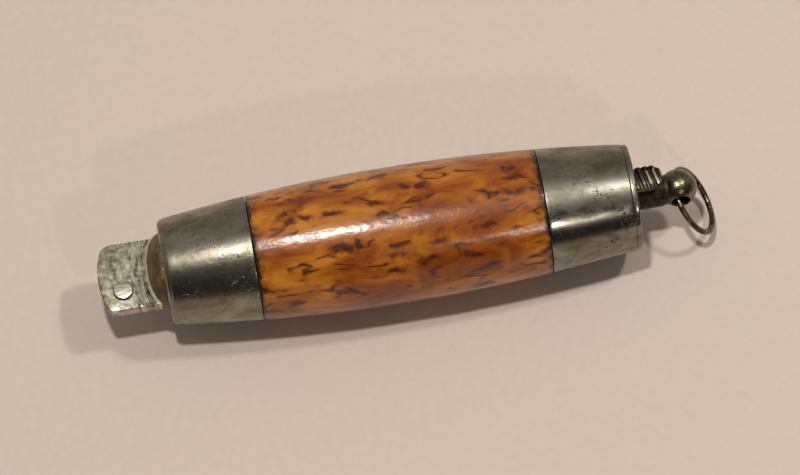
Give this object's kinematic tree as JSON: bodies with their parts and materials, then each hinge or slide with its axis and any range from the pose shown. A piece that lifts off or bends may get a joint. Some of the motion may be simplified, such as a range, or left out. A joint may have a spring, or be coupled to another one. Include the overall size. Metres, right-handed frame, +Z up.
{
  "type": "barrel knife",
  "caption": "Folding knife stowed in a turned birch barrel handle with steel ferrules, a pull tab, a serrated catch and a swivelling lanyard ring.",
  "frame": {"origin": "on the flat under the middle of the barrel, which the knife lies on", "axes": "+X along the knife towards the lanyard ring, +Y across it, +Z up from the flat it lies on"},
  "size_m": [0.1218, 0.0268, 0.0268],
  "materials": {
    "birch": "varnished, golden-brown curly birch with dark flecks",
    "ferrule_steel": "old polished steel with fine pits and scratches",
    "stud_steel": "dark, lightly rusted steel with a worn bright ball",
    "ring_steel": "dark worn steel wire",
    "head_metal": "tarnished grey-gold alloy, file marks, golden-brown on the dome",
    "plate_steel": "satin steel",
    "blade_steel": "polished and honed steel",
    "pin_steel": "light filed steel",
    "catch_steel": "worn steel with bright crests",
    "spring_steel": "blued spring steel"
  },
  "bodies": {
    "barrel": {"wood_barrel": "birch", "front_ferrule": "ferrule_steel", "rear_ferrule": "ferrule_steel", "rear_end_plate": "ferrule_steel"},
    "frame": {"frame_head": "head_metal", "frame_upper_plate": "plate_steel", "frame_lower_plate": "plate_steel", "back_spacer": "plate_steel", "tail_block": "plate_steel", "blade": "blade_steel", "blade_pivot_pin": "pin_steel", "catch_bracket": "plate_steel", "catch_pivot_pin": "pin_steel", "catch_spring": "spring_steel", "catch_spring_rivet": "pin_steel", "head_rivet_upper_1": "pin_steel", "head_rivet_upper_2": "pin_steel", "head_rivet_lower_1": "pin_steel", "head_rivet_lower_2": "pin_steel", "spacer_rivet_1": "pin_steel", "spacer_rivet_2": "pin_steel", "spacer_rivet_3": "pin_steel", "tail_rivet_1": "pin_steel", "tail_rivet_2": "pin_steel"},
    "catch": {"catch_lever": "catch_steel"},
    "swivel": {"ball_stud": "stud_steel", "stud_washer": "stud_steel"},
    "ring": {"lanyard_ring": "ring_steel"}
  },
  "joints": [
    {"name": "frame_slide", "type": "slide", "parent": "barrel", "child": "frame", "axis": [-1, 0, 0], "range_m": [0, 0.1]},
    {"name": "catch_press", "type": "hinge", "parent": "frame", "child": "catch", "pos_m": [0.036, 0, 0.0182], "axis": [0, 1, 0], "range_deg": [0, 6], "stiffness_Nm_per_rad": 0.05, "deforming": ["catch_spring"]},
    {"name": "stud_swivel", "type": "hinge", "parent": "barrel", "child": "swivel", "pos_m": [0.05, 0.00035, 0.0134], "axis": [1, 0, 0], "continuous": true},
    {"name": "ring_swing", "type": "hinge", "parent": "swivel", "child": "ring", "pos_m": [0.0554, 0.00035, 0.0134], "axis": [0, -0.9925, 0.1219], "range_deg": [-52.5, 167.5]}
  ]
}
